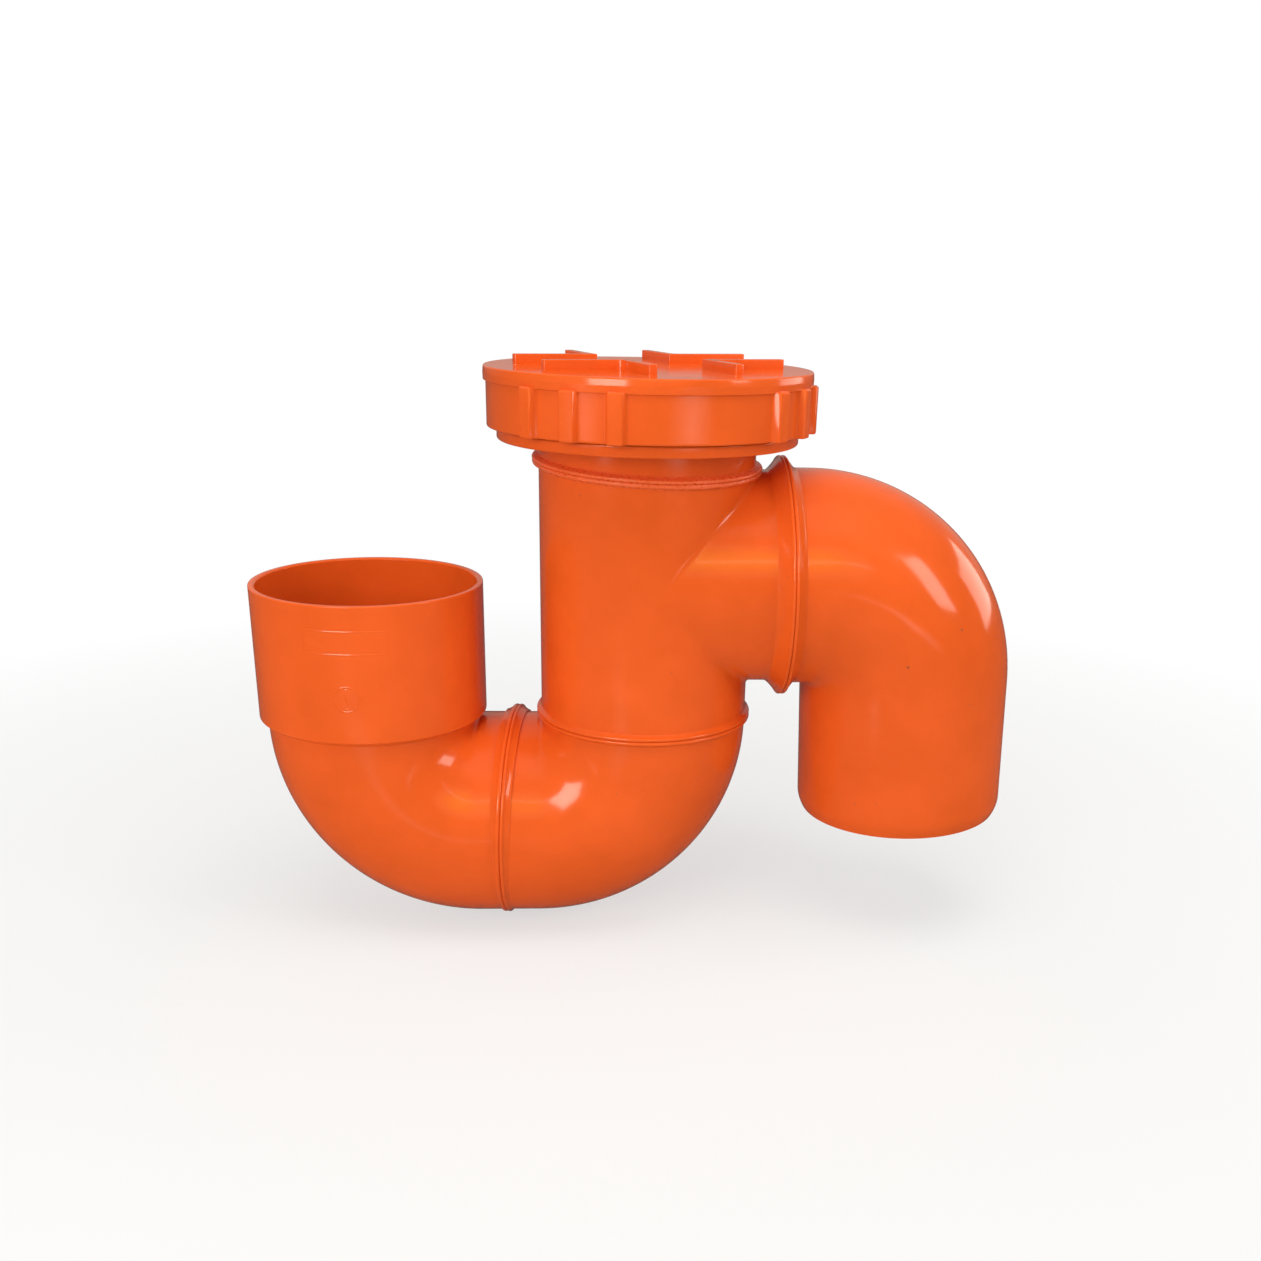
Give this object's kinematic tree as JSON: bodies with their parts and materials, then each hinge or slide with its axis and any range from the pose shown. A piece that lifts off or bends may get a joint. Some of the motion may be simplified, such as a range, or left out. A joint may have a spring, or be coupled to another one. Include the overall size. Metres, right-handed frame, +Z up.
{
  "type": "pvc waste trap",
  "caption": "Drain trap for 110 mm pipe: inlet socket, U bend, upright body with a screw-capped access, side branch and a downward outlet spigot.",
  "frame": {"origin": "centre of the inlet socket's pipe stop", "axes": "+Z up out of the inlet socket, +X from the inlet to the outlet"},
  "size_m": [0.3974, 0.1636, 0.2964],
  "materials": {
    "orange_pvc": "gloss",
    "seal_rubber": "matt"
  },
  "bodies": {
    "trap": {"inlet_bend": "orange_pvc", "trap_bend": "orange_pvc", "body_tee": "orange_pvc", "outlet_bend": "orange_pvc", "access_collar": "orange_pvc"},
    "seal": {"cap_seal": "seal_rubber"},
    "cap": {"access_cap": "orange_pvc"}
  },
  "joints": [
    {"name": "cap_rise", "type": "slide", "parent": "trap", "child": "seal", "axis": [0, 0, 1], "range_m": [0, 0.0151]},
    {"name": "cap_turn", "type": "hinge", "parent": "seal", "child": "cap", "pos_m": [0.142, 0, 0.1693], "axis": [0, 0, 1], "range_deg": [0, 900]}
  ],
  "couplings": [
    {"joint": "cap_rise", "follows": "cap_turn", "m_per_rad": 0.00095493}
  ]
}
